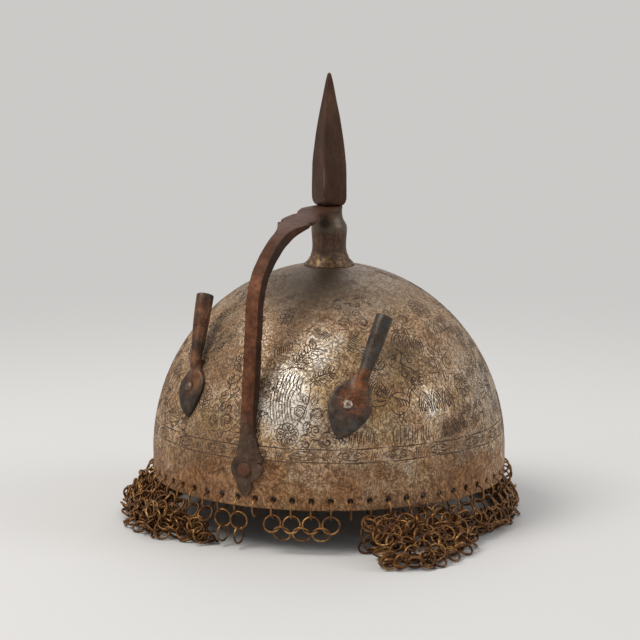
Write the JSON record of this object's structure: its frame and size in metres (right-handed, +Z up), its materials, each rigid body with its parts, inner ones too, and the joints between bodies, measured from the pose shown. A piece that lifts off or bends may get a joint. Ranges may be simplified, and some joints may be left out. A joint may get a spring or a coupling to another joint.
{
  "type": "war helmet",
  "caption": "Spiked steel bowl helmet with an arched brace bar in front of the face, plume sockets and a hanging mail curtain, standing on its heaped mail.",
  "frame": {"origin": "on the bowl's axis, on the level surface that the helmet stands on", "axes": "+Z up along the bowl's axis, -Y out through the middle of the face opening and the brace bar, +X to the right of someone who faces the helmet's front"},
  "size_m": [0.2468, 0.2346, 0.2628],
  "materials": {
    "bowl": "worn engraved steel with brown patina",
    "neck": "dark brown iron with traces of brazing",
    "spike": "dark brown iron, edges rubbed bright",
    "bar": "reddish brown forged iron",
    "plume_socket": "dark forged iron with rust",
    "bright_rivet": "rubbed bright",
    "dark_rivet": "dark brown",
    "inner_iron": "dull",
    "mail": "rusty golden brown iron wire"
  },
  "bodies": {
    "helmet": {"bowl": "bowl", "neck_socket": "neck", "spike": "spike", "tang_washer": "inner_iron", "brace_bar": "bar", "brace_rivet": "bar", "brace_burr": "inner_iron", "plume_socket_right": "plume_socket", "plume_socket_left": "plume_socket", "plume_rivet_right": "bright_rivet", "plume_rivet_left": "dark_rivet", "plume_burr_right": "inner_iron", "plume_burr_left": "inner_iron", "rim_rings": "mail", "mail_row_1": "mail", "mail_row_2": "mail", "mail_row_3": "mail", "mail_row_4": "mail", "mail_row_5": "mail", "mail_hem": "mail"},
    "ring_left": {"fringe_ring_left": "mail"},
    "drop_left": {"fringe_drop_left": "mail"},
    "ring_middle": {"fringe_ring_middle": "mail"},
    "drop_middle": {"fringe_drop_middle": "mail"},
    "ring_centre": {"fringe_ring_centre": "mail"},
    "curtain": {"curtain_rings": "mail", "curtain_hem": "mail"},
    "ring_right": {"fringe_ring_right": "mail"}
  },
  "joints": [
    {"name": "ring_left_swing", "type": "hinge", "parent": "helmet", "child": "ring_left", "pos_m": [-0.01631, -0.10297, 0.02995], "axis": [0.9877, -0.1564, 0], "range_deg": [-18, 18]},
    {"name": "drop_left_swing", "type": "hinge", "parent": "ring_left", "child": "drop_left", "pos_m": [-0.01631, -0.10297, 0.02145], "axis": [0.9877, -0.1564, 0], "range_deg": [-25, 25]},
    {"name": "ring_middle_swing", "type": "hinge", "parent": "helmet", "child": "ring_middle", "pos_m": [-0.00546, -0.10411, 0.02995], "axis": [0.9986, -0.0523, 0], "range_deg": [-18, 18]},
    {"name": "drop_middle_swing", "type": "hinge", "parent": "ring_middle", "child": "drop_middle", "pos_m": [-0.00546, -0.10411, 0.02145], "axis": [0.9986, -0.0523, 0], "range_deg": [-25, 25]},
    {"name": "ring_centre_swing", "type": "hinge", "parent": "helmet", "child": "ring_centre", "pos_m": [0.00546, -0.10411, 0.02995], "axis": [0.9986, 0.0523, 0], "range_deg": [-18, 18]},
    {"name": "curtain_swing", "type": "hinge", "parent": "helmet", "child": "curtain", "pos_m": [0.03201, -0.09853, 0.02995], "axis": [0.9511, 0.309, 0], "range_deg": [-14, 14]},
    {"name": "ring_right_swing", "type": "hinge", "parent": "helmet", "child": "ring_right", "pos_m": [0.05678, -0.08743, 0.02995], "axis": [0.8387, 0.5446, 0], "range_deg": [-18, 18]}
  ]
}
